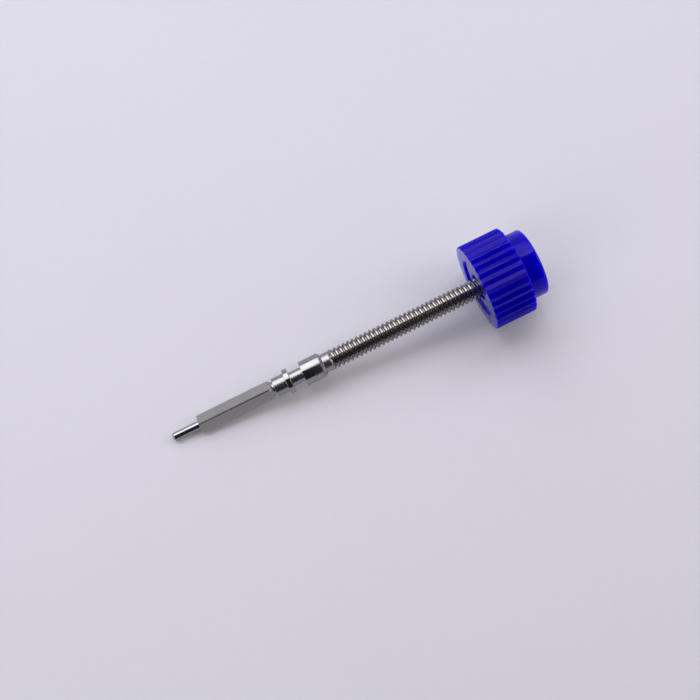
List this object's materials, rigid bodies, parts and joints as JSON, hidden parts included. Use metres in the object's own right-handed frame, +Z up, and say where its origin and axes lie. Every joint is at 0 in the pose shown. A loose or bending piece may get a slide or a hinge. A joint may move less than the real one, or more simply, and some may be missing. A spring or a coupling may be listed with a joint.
{
  "type": "watch stem",
  "caption": "Watch winding stem of polished steel with pilot, milled square, seat, setting lever slot, hub and threaded tail, and a fluted blue plastic handling crown screwed on the tail.",
  "frame": {"origin": "on the stem's axis, midway along the slot that the setting lever holds the stem by", "axes": "+X along the stem from the pilot to the crown, +Z up when the stem lies on a table on its pilot and the rim of its crown, apart from a pitch of 7 degrees that lets the pilot down"},
  "size_m": [0.0184, 0.0042, 0.0042],
  "materials": {
    "stem_steel": "mirror polished on the turned surfaces, satin on the milled flats of the square",
    "crown_plastic": "glossy moulded ultramarine plastic"
  },
  "bodies": {
    "stem": {"stem": "stem_steel"},
    "handling_crown": {"handling_crown": "crown_plastic"}
  },
  "joints": [
    {"name": "crown_unscrew", "type": "slide", "parent": "stem", "child": "handling_crown", "axis": [1, 0, 0], "range_m": [0, 0.0022]}
  ]
}
